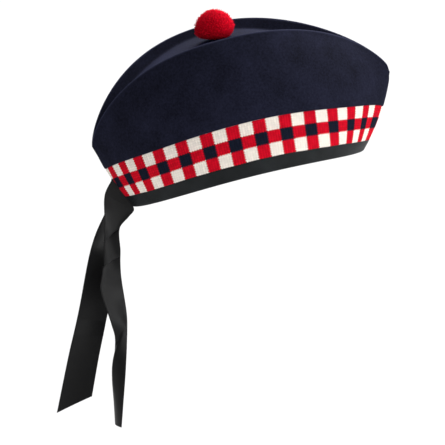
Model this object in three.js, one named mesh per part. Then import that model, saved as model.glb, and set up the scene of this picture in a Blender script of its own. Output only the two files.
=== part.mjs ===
// A glengarry: a boat-shaped wool cap with a diced band, a bound rim, two ribbon tails and a yarn ball.
// Millimetres, +Z up, front toward -Y, wearer's left toward +X, origin in the middle of the head opening.
import * as THREE from "three";

const DEGREE = Math.PI / 180;
const RIGHT = -1;
const LEFT = 1;

// The cap is shaped with its rim level, then tipped back as it sits on a head.
const TIP_BACK = 12.7 * DEGREE;
const CLOTH = 2;
const SEAM_GAP = 0.3;

// Lower edge: an oval drawn to a slight point at the front and back, and raised at the sides.
const RIM = { halfLength: 98.2, back: 1, halfWidth: 79.4, point: 1.46, arch: 18.4 };

// Upper edges of the two side panels: they meet at the back, and lie together along the front.
const RIDGE = {
  halfLength: 125.3,
  forward: 6.1,
  backHeight: 56.3,
  frontHeight: 57.9,
  rise: 66.1,
  halfWidth: 49.9,
  lip: 2.4,
};

// How a ridge narrows and rises from its middle to either end, and how far the wall leans out at the rim.
const BACK = { point: 1.9, flat: 2.56, round: 0.725, lean: 28 * DEGREE };
const FRONT = { point: 4.2, flat: 1.89, round: 0.7, lean: 42 * DEGREE };
const SIDE_LEAN = 4 * DEGREE;

// The wool top sinks between the ridges like a trough, and the head lifts its floor under the ball.
const TOP = {
  depth: 9.8,
  sink: 0.5,
  slope: 50 * DEGREE,
  lift: 4.2,
  liftAngle: 83 * DEGREE,
  liftSpread: 24 * DEGREE,
  fullest: 0.8,
  tipHalfWidth: 0.6,
};

// A ribbon folded over the rim, and three rows of squares above it, a little behind the wool's face.
// The band thins to a flat edge inside the ribbon, which so lies nearly flush with it.
const BINDING = { height: 11.2, hem: 1.1, cloth: 1, turn: 1.3 };
const BAND = { rows: 3, rowHeight: 10.1, columns: 56, inset: 0.8, edge: 1 };
const BAND_TOP = BINDING.height + BAND.rows * BAND.rowHeight;
const PANEL_STEPS = 10;

// How far the rows draw in at the two seams, and how quickly that fades along the sides.
const DRAW_IN = { back: 0.085, front: 0.095, fade: 20 };

// The yarn ball is sewn down in the trough, so its underside follows the wool.
const BALL = {
  radius: 16.3,
  head: 14.2,
  tuck: 0.3,
  along: 1.8,
  centre: 124.3,
  seat: 0.6,
  uneven: 0.06,
  detail: 4,
};

// The tails are ribbon ends sewn up the wall between two heights, a small angle off the back seam.
const RIBBON = {
  cloth: 1,
  strips: 4,
  steps: 32,
  sewnTop: 31.5,
  sewnFoot: 2,
  clear: 0.6,
  sewnRight: 0.1,
  sewnLeft: 0.03,
};

// Each row is one place down a tail, as worn: its rear edge, its front edge, and how far its middle bows.
const TAIL_COLUMNS = ["rearX", "rearY", "rearZ", "frontX", "frontY", "frontZ", "bow"];
const RIGHT_TAIL = [
  [-5, 119, -10.5, -2.5, 98.5, -25, -1],
  [-6.5, 119.8, -29.5, -3, 100, -30, -2],
  [-9, 120.2, -49, -4, 107.2, -38.5, -2.5],
  [-9.5, 120.8, -64, -4, 106.8, -57.5, -2.5],
  [-11, 122.3, -74.5, -4, 107, -66.5, -2],
  [-14, 124, -85.5, -4.5, 106.5, -79.5, -1],
  [-17, 116, -115, -3, 102.5, -109, 2],
  [-11, 112.5, -130, -8.5, 102.5, -117, 4],
  [-3, 113, -156.5, -17, 104.2, -148.5, 6.5],
  [0.5, 110, -185, -20.5, 107.4, -183, 5],
  [1, 108, -201.5, -21, 109, -201.5, 4.5],
];
const LEFT_TAIL = [
  [-1, 118.5, -26, 11, 103, -28, 5],
  [2, 125.5, -42.5, 16, 109, -47, 4.5],
  [6, 131, -61, 12, 108, -67.5, 1.5],
  [6, 141.5, -113, 6, 118, -117, 2],
  [6, 149, -144, 4, 124.5, -146.5, 1.5],
  [5.5, 160, -195, 2.5, 131, -181, 1],
];

const MATERIALS = {
  wool: new THREE.MeshStandardMaterial({ color: 0x20222f, roughness: 0.95, metalness: 0 }),
  knit: new THREE.MeshStandardMaterial({ color: 0xc41430, roughness: 0.9, metalness: 0 }),
  ribbon: new THREE.MeshStandardMaterial({ color: 0x1c1d1f, roughness: 0.55, metalness: 0 }),
  yarn: new THREE.MeshStandardMaterial({ color: 0xc80a26, roughness: 0.95, metalness: 0 }),
};

// Point on the rim; the angle runs from 0 at the back to half a turn at the front.
function rimPoint(angle, side) {
  const across = Math.sin(angle);
  const x = side * RIM.halfWidth * across ** RIM.point;
  const y = RIM.halfLength * Math.cos(angle) + RIM.back;
  return new THREE.Vector3(x, y, RIM.arch * across ** 2);
}

// The end of the cap that an angle is nearer to.
function endNear(angle) {
  return Math.cos(angle) > 0 ? BACK : FRONT;
}

// Point on a ridge, at the same angle.
function ridgePoint(angle, side) {
  const end = endNear(angle);
  const across = Math.sin(angle);
  const along = Math.cos(angle);
  const share = (1 + along) / 2;
  const foot = RIDGE.backHeight * share + RIDGE.frontHeight * (1 - share);
  const spread = (RIDGE.halfWidth - RIDGE.lip) * across ** end.point + RIDGE.lip * across ** 0.5;
  const arch = (1 - Math.abs(along) ** end.flat) ** end.round;
  const y = RIDGE.halfLength * along - RIDGE.forward;
  return new THREE.Vector3(side * spread, y, foot + RIDGE.rise * arch);
}

// Straight distance from rim to ridge.
function wallSpan(angle) {
  return rimPoint(angle, LEFT).distanceTo(ridgePoint(angle, LEFT));
}

// What is left of a row's height, which draws in toward the front and back seams.
function rowShare(angle) {
  const along = Math.cos(angle);
  const narrow = along > 0 ? DRAW_IN.back : DRAW_IN.front;
  return 1 - narrow * along ** DRAW_IN.fade;
}

// Height of the ridge up the wall's own slope, measured as the rows are.
function ridgeHeight(angle) {
  return wallSpan(angle) / rowShare(angle);
}

// Level direction square to the rim's oval.
function rimOutward(angle, side) {
  const across = RIM.halfLength * Math.sin(angle);
  const along = RIM.halfWidth * Math.cos(angle);
  return new THREE.Vector3(side * across, along, 0).normalize();
}

// Outer face of the wall: it sets off at its lean and bends over to the ridge.
function wallPoint(angle, side, height) {
  const lean = SIDE_LEAN + (endNear(angle).lean - SIDE_LEAN) * Math.cos(angle) ** 2;
  const rim = rimPoint(angle, side);
  const ridge = ridgePoint(angle, side);
  const reach = wallSpan(angle) / 2;
  const knee = rim.clone().addScaledVector(rimOutward(angle, side), reach * Math.sin(lean));
  knee.z += reach * Math.cos(lean);
  const share = height / ridgeHeight(angle);
  const lower = rim.lerp(knee, share);
  const upper = knee.clone().lerp(ridge, share);
  return lower.lerp(upper, share);
}

// Direction square to a surface of two parameters, from small steps to either side.
function squareTo(surface, u, v, stepU, stepV) {
  const alongU = surface(u + stepU, v).sub(surface(u - stepU, v));
  const alongV = surface(u, v + stepV).sub(surface(u, v - stepV));
  return alongU.cross(alongV).normalize();
}

// Outward direction on the wall, taken just beside the front and back seams.
function wallOutward(angle, side, height) {
  const step = 0.02;
  const near = THREE.MathUtils.clamp(angle, 2 * step, Math.PI - 2 * step);
  const surface = (u, v) => wallPoint(u, side, v);
  return squareTo(surface, near, height, step, step).multiplyScalar(-side);
}

// Point at a depth below the outer face; on a seam the two sides' depths meet in its plane.
function wallInside(angle, side, height, depth) {
  const normal = wallOutward(angle, side, height);
  const onSeam = angle === 0 || angle === Math.PI;
  if (onSeam) {
    normal.x = 0;
    normal.divideScalar(normal.lengthSq());
  }
  return wallPoint(angle, side, height).addScaledVector(normal, -depth);
}

// Angles that step along the band by one column, from the back seam to the front.
function columnAngles() {
  const samples = 600;
  const middle = BINDING.height + (BAND.rows * BAND.rowHeight) / 2;
  const angles = Array.from({ length: samples + 1 }, (_, i) => (Math.PI * i) / samples);
  const points = angles.map((angle) => wallPoint(angle, LEFT, middle));
  const lengths = [0];
  for (let i = 1; i <= samples; i += 1) {
    lengths.push(lengths[i - 1] + points[i].distanceTo(points[i - 1]));
  }
  const half = BAND.columns / 2;
  const steps = [0];
  for (let k = 1; k < half; k += 1) {
    const goal = (lengths[samples] * k) / half;
    const after = lengths.findIndex((length) => length >= goal);
    const share = (goal - lengths[after - 1]) / (lengths[after] - lengths[after - 1]);
    steps.push(angles[after - 1] + share * (angles[after] - angles[after - 1]));
  }
  steps.push(Math.PI);
  return steps;
}

const ANGLES = columnAngles();

// The same steps right round the cap: front along the right side, then back along the left.
const ROUND = [
  ...ANGLES.map((angle) => ({ angle, side: RIGHT })),
  ...ANGLES.slice(1, -1).reverse().map((angle) => ({ angle, side: LEFT })),
];

// Closed body through a row of sections, each a loop with as many points as the others.
function sweep(sections, ring) {
  const size = sections[0].length;
  const index = [];
  const quad = (a, b, c, d) => index.push(a, b, c, a, c, d);
  const steps = ring ? sections.length : sections.length - 1;
  for (let i = 0; i < steps; i += 1) {
    const here = i * size;
    const next = ((i + 1) % sections.length) * size;
    for (let j = 0; j < size; j += 1) {
      const k = (j + 1) % size;
      quad(here + j, next + j, next + k, here + k);
    }
  }
  if (!ring) {
    const last = steps * size;
    for (let j = 0; j < size / 2 - 1; j += 1) {
      const mate = size - 1 - j;
      quad(j, j + 1, mate - 1, mate);
      quad(last + mate, last + mate - 1, last + j + 1, last + j);
    }
  }
  return closedBody(sections.flat(), index);
}

// Geometry from points and triangles, turned so that every face looks outward.
function closedBody(points, index) {
  let volume = 0;
  for (let i = 0; i < index.length; i += 3) {
    const [a, b, c] = index.slice(i, i + 3).map((corner) => points[corner]);
    volume += a.dot(b.clone().cross(c));
  }
  const geometry = new THREE.BufferGeometry().setFromPoints(points);
  geometry.setIndex(volume < 0 ? index.toReversed() : index);
  geometry.computeVertexNormals();
  return geometry;
}

// One profile of heights and depths carried right round the cap.
function roundCap(profile) {
  return ROUND.map(({ angle, side }) =>
    profile.map(({ height, depth }) => wallInside(angle, side, height, depth)));
}

// One wool side of the crown, from the band to the ridge.
function sidePanel(side) {
  const foot = BAND_TOP + SEAM_GAP;
  const clearOfSeam = (point) => {
    point.x = side * Math.max(Math.abs(point.x), SEAM_GAP / 2);
    return point;
  };
  const sections = ANGLES.map((angle) => {
    const heights = Array.from({ length: PANEL_STEPS + 1 }, (_, j) =>
      THREE.MathUtils.lerp(foot, ridgeHeight(angle), j / PANEL_STEPS));
    const outer = heights.map((height) => clearOfSeam(wallPoint(angle, side, height)));
    const inner = heights.map((height) => clearOfSeam(wallInside(angle, side, height, CLOTH)));
    return [...outer, ...inner.reverse()];
  });
  return sweep(sections, false);
}

// Half the top's width at an angle, clear of the side panels; it runs below zero near the tips.
function topHalfWidth(angle) {
  const normal = wallOutward(angle, LEFT, ridgeHeight(angle));
  const level = Math.hypot(normal.x, normal.y);
  const inset = CLOTH * level + SEAM_GAP;
  return ridgePoint(angle, LEFT).x - (inset * level) / normal.x;
}

// How far the top's floor lies below its edges, less where the top is narrow.
function floorDepth(angle) {
  const offCrown = (angle - TOP.liftAngle) / TOP.liftSpread;
  const depth = TOP.depth - TOP.lift * Math.exp(-(offCrown ** 2));
  return Math.min(depth, TOP.fullest * topHalfWidth(angle) * Math.tan(TOP.slope));
}

// Upper face of the top at a distance to the left of its middle: a floor, and a wall up to each ridge.
function topPoint(angle, x) {
  const ridge = ridgePoint(angle, LEFT);
  const climb = (topHalfWidth(angle) - Math.abs(x)) * Math.tan(TOP.slope);
  const depth = TOP.sink + Math.min(climb, floorDepth(angle));
  return new THREE.Vector3(x, ridge.y, ridge.z - depth);
}

// Slice across the top, with its depth square to the ridge.
function topSection(angle) {
  const step = 0.01;
  const run = ridgePoint(angle + step, LEFT).sub(ridgePoint(angle - step, LEFT));
  const up = new THREE.Vector3(0, run.z, -run.y).normalize();
  const edge = topHalfWidth(angle);
  const foot = edge - floorDepth(angle) / Math.tan(TOP.slope);
  const outer = [-edge, -foot, -foot / 2, 0, foot / 2, foot, edge].map((x) => topPoint(angle, x));
  const inner = outer.map((point) => point.clone().addScaledVector(up, -CLOTH));
  return [...outer, ...inner.reverse()];
}

// Angle of the top's narrow end, found by halving the step between a slice without it and one with it.
function tipAngle(without, within) {
  const halvings = 20;
  let outside = without;
  let inside = within;
  for (let i = 0; i < halvings; i += 1) {
    const middle = (outside + inside) / 2;
    if (topHalfWidth(middle) > TOP.tipHalfWidth) {
      inside = middle;
    } else {
      outside = middle;
    }
  }
  return inside;
}

// The wool top between the two ridges.
function crownTop() {
  const wide = (angle) => topHalfWidth(angle) > TOP.tipHalfWidth;
  const first = ANGLES.findIndex(wide);
  const last = ANGLES.findLastIndex(wide);
  const angles = [
    tipAngle(ANGLES[first - 1], ANGLES[first]),
    ...ANGLES.slice(first, last + 1),
    tipAngle(ANGLES[last + 1], ANGLES[last]),
  ];
  return sweep(angles.map(topSection), false);
}

// The diced band, whose thin lower edge runs down inside the binding.
function dicedBand() {
  const face = BAND.inset;
  const back = BAND.inset + CLOTH;
  const ledge = BINDING.height + SEAM_GAP;
  const middle = (ledge + BAND_TOP) / 2;
  const profile = [
    { height: BINDING.hem + SEAM_GAP, depth: back - BAND.edge },
    { height: ledge, depth: back - BAND.edge },
    { height: ledge, depth: face },
    { height: middle, depth: face },
    { height: BAND_TOP, depth: face },
    { height: BAND_TOP, depth: back },
    { height: middle, depth: back },
    { height: ledge, depth: back },
    { height: BINDING.hem + SEAM_GAP, depth: back },
  ];
  return sweep(roundCap(profile), true);
}

// The ribbon round the rim, folded over both faces of the band's edge.
function rimBinding() {
  const far = BAND.inset + CLOTH + SEAM_GAP;
  const near = far - BAND.edge - 2 * SEAM_GAP;
  const skin = BINDING.cloth;
  const hem = BINDING.hem;
  const outside = [
    { height: BINDING.height, depth: near - skin },
    { height: hem, depth: near - skin },
    { height: hem - skin, depth: near },
    { height: hem - BINDING.turn, depth: (near + far) / 2 },
    { height: hem - skin, depth: far },
    { height: hem, depth: far + skin },
    { height: BINDING.height, depth: far + skin },
  ];
  const pocket = [
    { height: BINDING.height, depth: far },
    { height: hem, depth: far },
    { height: hem, depth: near },
    { height: BINDING.height, depth: near },
  ];
  return sweep(roundCap([...outside, ...pocket]), true);
}

// A point of the level cap where it lies once the cap is tipped back.
function tipped(point) {
  return point.applyAxisAngle(new THREE.Vector3(1, 0, 0), -TIP_BACK);
}

// A tail's places by name, the sewn end first.
function tailPlaces(rows, side) {
  const angle = side === RIGHT ? RIBBON.sewnRight : RIBBON.sewnLeft;
  const top = tipped(wallInside(angle, side, RIBBON.sewnTop, -RIBBON.clear));
  const foot = tipped(wallInside(angle, side, RIBBON.sewnFoot, -RIBBON.clear));
  const sewn = [...top.toArray(), ...foot.toArray(), 0];
  const named = (row) => Object.fromEntries(TAIL_COLUMNS.map((column, i) => [column, row[i]]));
  return [sewn, ...rows].map(named);
}

// A ribbon tail: the sheet between two smooth edges, bowed across, with the ribbon's thickness.
function ribbonTail(rows, side) {
  const places = tailPlaces(rows, side);
  const rearEdge = places.map((p) => new THREE.Vector3(p.rearX, p.rearY, p.rearZ));
  const frontEdge = places.map((p) => new THREE.Vector3(p.frontX, p.frontY, p.frontZ));
  const rear = new THREE.CatmullRomCurve3(rearEdge);
  const front = new THREE.CatmullRomCurve3(frontEdge);
  const bows = new THREE.SplineCurve(places.map((p, i) => new THREE.Vector2(i, p.bow)));
  const sheet = (across, down) => {
    const from = rear.getPoint(down);
    const to = front.getPoint(down);
    const run = rear.getTangent(down).add(front.getTangent(down));
    const chord = to.clone().sub(from);
    const outward = chord.clone().cross(run).normalize();
    const bow = side * bows.getPoint(down).y * (1 - across ** 2);
    return from.lerp(to, (1 + across) / 2).addScaledVector(outward, bow);
  };
  const face = (across, down, lift) => {
    const step = 0.005;
    const inRange = THREE.MathUtils.clamp(down, step, 1 - step);
    const normal = squareTo(sheet, across, inRange, step, step);
    return sheet(across, down).addScaledVector(normal, lift);
  };
  const shares = Array.from({ length: RIBBON.strips + 1 }, (_, j) => (2 * j) / RIBBON.strips - 1);
  const sections = Array.from({ length: RIBBON.steps + 1 }, (_, i) => {
    const down = i / RIBBON.steps;
    const outer = shares.map((across) => face(across, down, RIBBON.cloth / 2));
    const inner = shares.map((across) => face(across, down, -RIBBON.cloth / 2));
    return [...outer, ...inner.reverse()];
  });
  return sweep(sections, false);
}

// Height of the wool under a place on the cap.
function woolUnder(x, y) {
  const angle = Math.acos((y + RIDGE.forward) / RIDGE.halfLength);
  return topPoint(angle, x).z;
}

// The yarn ball: a head with a short lock of yarn on each of its facets, trimmed to the wool below.
function yarnBall() {
  const facets = new THREE.IcosahedronGeometry(1, BALL.detail).getAttribute("position");
  const points = [];
  const index = [];
  const places = new Map();
  const place = (direction, radius) => {
    const point = direction.clone().normalize();
    const tucked = 1 - BALL.tuck * Math.max(0, -point.z);
    point.multiplyScalar(radius * tucked);
    point.y += BALL.along;
    point.z += BALL.centre;
    point.z = Math.max(point.z, woolUnder(point.x, point.y) + BALL.seat);
    points.push(point);
    return points.length - 1;
  };
  const headCorner = (direction) => {
    const key = direction.toArray().map((value) => value.toFixed(4)).join(" ");
    if (!places.has(key)) {
      places.set(key, place(direction, BALL.head));
    }
    return places.get(key);
  };
  for (let i = 0; i < facets.count; i += 3) {
    const corners = [0, 1, 2].map((j) => new THREE.Vector3().fromBufferAttribute(facets, i + j));
    const middle = corners[0].clone().add(corners[1]).add(corners[2]);
    const longer = 1 + BALL.uneven * (THREE.MathUtils.seededRandom(i + 1) - 0.5);
    const tip = place(middle, BALL.radius * longer);
    const [a, b, c] = corners.map(headCorner);
    index.push(a, b, tip, b, c, tip, c, a, tip);
  }
  return closedBody(points, index);
}

const glengarry = new THREE.Group();
const cap = new THREE.Group();
cap.rotation.x = -TIP_BACK;
glengarry.add(cap);

function piece(parent, name, geometry, material) {
  const mesh = new THREE.Mesh(geometry, material);
  mesh.name = name;
  parent.add(mesh);
}

piece(cap, "crown_side_right", sidePanel(RIGHT), MATERIALS.wool);
piece(cap, "crown_side_left", sidePanel(LEFT), MATERIALS.wool);
piece(cap, "crown_top", crownTop(), MATERIALS.wool);
piece(cap, "diced_band", dicedBand(), MATERIALS.knit);
piece(cap, "rim_binding", rimBinding(), MATERIALS.ribbon);
piece(cap, "yarn_ball", yarnBall(), MATERIALS.yarn);
piece(glengarry, "ribbon_tail_right", ribbonTail(RIGHT_TAIL, RIGHT), MATERIALS.ribbon);
piece(glengarry, "ribbon_tail_left", ribbonTail(LEFT_TAIL, LEFT), MATERIALS.ribbon);

export default glengarry;
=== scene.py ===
"""A glengarry cap: milled wool crown, diced knitted band, bound rim, two ribbon tails and a yarn ball."""
import math

import bpy
import numpy as np
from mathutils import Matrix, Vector


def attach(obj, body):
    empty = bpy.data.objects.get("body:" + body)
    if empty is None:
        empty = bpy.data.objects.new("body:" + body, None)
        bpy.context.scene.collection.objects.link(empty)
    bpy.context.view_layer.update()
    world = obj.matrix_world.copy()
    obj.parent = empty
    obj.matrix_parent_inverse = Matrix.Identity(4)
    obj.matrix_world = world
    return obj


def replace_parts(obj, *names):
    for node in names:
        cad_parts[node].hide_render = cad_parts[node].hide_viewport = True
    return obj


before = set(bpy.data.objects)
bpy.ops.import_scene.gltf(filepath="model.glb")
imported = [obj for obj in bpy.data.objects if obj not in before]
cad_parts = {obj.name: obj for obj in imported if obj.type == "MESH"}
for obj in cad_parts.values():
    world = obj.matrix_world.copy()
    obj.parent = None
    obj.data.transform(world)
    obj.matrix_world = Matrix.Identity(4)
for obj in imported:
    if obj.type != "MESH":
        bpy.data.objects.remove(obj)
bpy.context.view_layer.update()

# Sizes are in millimetres, as the cap was cut, and are turned to metres when a mesh is made.
MM = 0.001
RIGHT = -1
LEFT = 1

# The cap is shaped with its rim level, then tipped back as it is worn.
TIP_BACK = math.radians(12.7)
CLOTH = 2.0
SEAM_GAP = 0.3
# A place whose sine is below this is on the front or back seam.
ON_SEAM = 1e-6
# Slopes are found over small steps: in radians along the cap, and in millimetres up its wall.
WALL_STEP = 0.02
RIDGE_STEP = 0.01
RIM = {"half_length": 98.2, "back": 1.0, "half_width": 79.4, "point": 1.46, "arch": 18.4}
RIDGE = {
    "half_length": 125.3,
    "forward": 6.1,
    "back_height": 56.3,
    "front_height": 57.9,
    "rise": 66.1,
    "half_width": 49.9,
    "lip": 2.4,
}
# Each end: how it narrows to its seam, how flat and round its ridge is, and how far its wall leans.
BACK = {"point": 1.9, "flat": 2.56, "round": 0.725, "lean": math.radians(28)}
FRONT = {"point": 4.2, "flat": 1.89, "round": 0.7, "lean": math.radians(42)}
SIDE_LEAN = math.radians(4)
DRAW_IN = {"back": 0.085, "front": 0.095, "fade": 20}

# The wool top sinks between the ridges like a trough, whose floor is lifted under the ball.
TOP = {
    "depth": 9.8,
    "sink": 0.5,
    "slope": math.radians(50),
    "lift": 4.2,
    "lift_angle": math.radians(83),
    "lift_spread": math.radians(24),
    "fullest": 0.8,
    "tip_half_width": 0.2,
    "least_floor": 0.1,
    "fillet": 0.9,
    "fillet_share": 0.2,
}

# A ribbon folded over the rim, and three rows of squares above it.
BINDING = {
    "height": 11.2,
    "hem": 1.1,
    "cloth": 1.0,
    "turn": 1.3,
    "selvedge": 0.5,
    "back_lift": 0.8,
    "front_drop": 1.0,
    "back_sag": 1.1,
    "front_sag": 2.1,
}
# How far the ribbon's faces draw in at the selvedge and just below it, as shares of its thickness.
SELVEDGE_DRAW = (0.6, 0.15)
# Slow waves along the binding's upper edge: height, waves for each column, and where each starts.
EDGE_WAVES = [(0.12, 0.9, 0.4), (0.08, 2.3, 1.1)]
BAND = {"rows": 3, "row_height": 10.1, "columns": 56, "inset": 0.8, "edge": 1.0, "samples": 2001}
BAND_TOP = BINDING["height"] + BAND["rows"] * BAND["row_height"]
HALF_ROUND = BAND["columns"] // 2

# The knitting starts a little off the back seam, and is drawn along unevenly as it was sewn to the cap.
# Each ease is a place in columns, its spread, and the squares gained there at the foot and at the top.
DICE_START = -0.08
BACK_EASES = [(0, 2.6, -0.6, -0.6), (0, 1.0, 0.55, 0)]
SIDE_EASES = [
    (4.5, 3.5, 0.27, 0.05),
    (21.5, 2.8, -0.5, -0.13),
    (25.8, 1.0, 0.25, 0.25),
    (28, 1.2, -0.5, -0.5),
]

# Stitches in a square across and up, which are coarser than real ones so that they show, how finely
# they are drawn, and how far they stand out.
KNIT = {
    "wales": 5,
    "courses": 5,
    "per_wale": 7,
    "rows_per_row": 12,
    "relief": 0.36,
    "rib_middle": 0.5,
    "flat_edge": 1.0,
    "stitch": 0.4,
    "slant": 0.9,
    "bump": 0.6,
    "tuck": 1.4,
}
HALF_STITCH = 0.5
# Stitch tone and painted groove shade: the least, what chance, swell and leg add, and how far white evens
# it out.
STITCH_SHADE = {"least": 0.42, "chance": 0.26, "swell": 0.7, "leg": 0.5, "white_evens": 0.5}

# The panels' lower edges turn under, their seams sink, their ridges roll over and their nose is blunt.
PANEL = {
    "foot_clear": 0.05,
    "turn_in": 0.6,
    "turn_height": 1.0,
    "welt": 0.35,
    "welt_height": 3.2,
    "closer": 1.3,
}
SEAM = {"sink": 0.45, "spread": 0.9}
NOSE = {"blunt": 1.5, "spread": 4.5}

BALL = {"radius": 16.3, "tuck": 0.3, "seat": 0.6, "base": 7.8, "base_round": 3.0}
BALL_CENTRE = np.array([0, 1.8, 124.3])
YARN = {
    "seed": 11,
    "strands": 7600,
    "sides": 4,
    "rings": 3,
    "radius": 0.4,
    "root": 0.74,
    "core": 0.89,
    "core_steps": 12,
    "stray": 0.05,
    "trim": 0.94,
    "uneven": 0.012,
    "droop": 0.35,
    "varied": 0.15,
    "wisps": 0.35,
    "wisp_length": 0.9,
    "wisp_width": 0.4,
    "rounding": 0.75,
    "plainest": 0.5,
    "core_tone": 0.6,
}
YARN_TAPER = [(0, 0.8), (0.7, 1), (1, 0.85)]
# Painted shade under the ball: strands are darkest that lean down this steeply, and pale that lean down
# less than this.
YARN_PAINTED_SHADE = (-0.75, 0.1)

# The tails are ribbon ends, sewn into the back seam between two heights.
RIBBON = {
    "width": 24.5,
    "cloth": 0.7,
    "sewn_top": 31.5,
    "sewn_foot": 2.0,
    "sewn_in": 1.0,
    "sewn_right": 0.1,
    "sewn_left": 0.03,
}

# Each row is one place down a tail, as worn: rear edge, front edge, and how far the middle bows.
RIGHT_TAIL = [
    (-5, 119, -10.5, -2.5, 95.4, -24.3, -1),
    (-6.5, 119.8, -29.5, -3, 100, -30, -2),
    (-9, 120.2, -49, -4, 107.2, -38.5, -2.5),
    (-9.5, 120.8, -64, -4, 106.8, -57.5, -2.5),
    (-11, 122.3, -74.5, -4, 107, -66.5, -2),
    (-14, 124, -85.5, -4.5, 106.5, -79.5, -1),
    (-17, 116, -115, -3, 102.5, -109, 2),
    (-11, 112.5, -130, -8.5, 102.5, -117, 4),
    (-3, 113, -156.5, -17, 104.2, -148.5, 6.5),
    (0.5, 110, -185, -20.5, 107.4, -183, 5),
    (1, 108, -201.5, -21, 109, -201.5, 4.5),
]
LEFT_TAIL = [
    (-1, 118.5, -26, 11, 103, -28, 5),
    (2, 125.5, -42.5, 16, 109, -47, 4.5),
    (6, 131, -61, 12, 108, -67.5, 1.5),
    (6, 141.5, -113, 6, 118, -117, 2),
    (6, 149, -144, 4, 124.5, -146.5, 1.5),
    (5.5, 160, -195, 2.5, 131, -181, 1),
]

# Pressed folds across a tail: a place counted in rows, and how far each edge stands out there.
RIGHT_FOLDS = [
    (0, 0, 0),
    (1, -1, 0),
    (2.97, 3.5, 0),
    (3.03, -3.5, 0),
    (4.47, 3, 0),
    (4.53, -2, 0),
    (6, 0, 0),
    (11, 0, 0),
]
LEFT_FOLDS = [(0, 0, 0), (3.7, 0, 0), (4.08, 0.9, 0.9), (4.5, 0, 0), (6, 0, 0)]

# How finely each surface is drawn.
PANEL_GRID = {"per_column": 6, "heights": 48, "roll": 10, "inside": 20, "beside_seam": 5}
TOP_GRID = {"along": 220, "wall": 16, "floor": 26, "samples": 1201}
BINDING_GRID = {"per_column": 8, "face": 12, "turn": 8}
TAIL_GRID = {"along": 420, "across": 28}
# Edges that bend by more degrees than this are shaded as sharp.
SHARP = {"wool": 50, "trim": 60}

# The camera was found from the photo: its direction, its scale, and the pixel of the cap's origin.
VIEW = {
    "azimuth": 261.59,
    "elevation": 10.59,
    "distance": 1800.0,
    "scale": 1.2279,
    "frame": 445.0,
    "sensor": 36.0,
}
ORIGIN_PIXEL = (250.15, 176.93)
FLOOR = {"level": -420.0, "half": 20000.0}

# Each light: its name, azimuth, elevation, strength and width in degrees.
SUNS = [
    ("high_far_side", 60, 52, 5.4, 60),
    ("low_near_front", 300, 18, 1.25, 40),
    ("low_front", 340, 5, 1.25, 25),
]
SKY = 0.12

# Sizes of what the cloths show, in millimetres.
# Nap and ribs are drawn coarser than real ones, which are too fine to show.
# The last two sizes mark where a highlight painted along ridge crests is full, and where it has faded.
WOOL = {"cloud": 22.0, "nap": 1.8, "relief": 0.25, "painted_crest_highlight": 0.6, "crest_highlight_fade": 2.0}
WEAVE = {"rib": 0.6, "patch": 14.0, "relief": 0.1}

# How the cloths' patterns are mixed: the share of each, the darkest and palest tones, and the bump.
PATCH_DETAIL = 3.0
WOOL_TONE = {"cloud": 0.4, "nap": 0.6, "darkest": 0.3, "palest": 0.75}
NAP = {"detail": 4.0, "roughness": 0.7, "bump": 0.45}
WEAVE_TONE = {"rib": 0.1, "darkest": 0.2, "palest": 0.85, "bump": 0.2}

# The colour sockets of a mix node share their names with others, so they are met by number.
MIX_SHARE = 0
MIX_FROM = 6
MIX_TO = 7
MIXED = 2

# How far the edges of a square step in and out, as a share of its width and of its height.
DICE_TOOTH = {"side": 0.06, "end": 0.05}


def smooth_step(low, high, value):
    """Share of the way from low to high, eased at both ends: 3 t squared less 2 t cubed."""
    t = np.clip((value - low) / (high - low), 0, 1)
    return t * t * (3 - 2 * t)


def bell(value, spread):
    """A bump of height one, falling off as e to the minus square of value over spread."""
    return np.exp(-((value / spread) ** 2))


def unit(vectors):
    """The same directions with a length of one."""
    return vectors / np.linalg.norm(vectors, axis=-1, keepdims=True)


def xyz(x, y, z):
    """Points from three arrays of any shapes that fit together."""
    return np.stack(np.broadcast_arrays(x, y, z), axis=-1)


def worn(points):
    """The level cap's points once it is tipped back: turned about the X axis."""
    c = math.cos(TIP_BACK)
    s = math.sin(TIP_BACK)
    x, y, z = np.moveaxis(points, -1, 0)
    return xyz(x, c * y + s * z, c * z - s * y)


def end_near(angle, key):
    """A size of the end of the cap that an angle is nearer to."""
    return np.where(np.cos(angle) > 0, BACK[key], FRONT[key])


def rim_point(angle, side):
    """The rim: an oval, angle 0 at the back and half a turn at the front, raised at its sides."""
    across = np.clip(np.sin(angle), 0, 1)
    x = side * RIM["half_width"] * across ** RIM["point"]
    return xyz(x, RIM["half_length"] * np.cos(angle) + RIM["back"], RIM["arch"] * across**2)


def ridge_point(angle, side):
    """A panel's upper edge: wide by a power of the sine, arched by one less a power of the cosine."""
    across = np.clip(np.sin(angle), 0, 1)
    along = np.clip(np.cos(angle), -1, 1)
    share = (1 + along) / 2
    foot = RIDGE["back_height"] * share + RIDGE["front_height"] * (1 - share)
    wide = (RIDGE["half_width"] - RIDGE["lip"]) * across ** end_near(angle, "point")
    spread = wide + RIDGE["lip"] * np.sqrt(across)
    arch = (1 - np.abs(along) ** end_near(angle, "flat")) ** end_near(angle, "round")
    y = RIDGE["half_length"] * along - RIDGE["forward"]
    return xyz(side * spread, y, foot + RIDGE["rise"] * arch)


def wall_span(angle):
    """Straight distance from rim to ridge."""
    return np.linalg.norm(ridge_point(angle, LEFT) - rim_point(angle, LEFT), axis=-1)


def ridge_height(angle):
    """Height of the ridge up the wall, in rows that draw in toward the two seams."""
    along = np.cos(angle)
    narrow = np.where(along > 0, DRAW_IN["back"], DRAW_IN["front"])
    return wall_span(angle) / (1 - narrow * along ** DRAW_IN["fade"])


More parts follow.
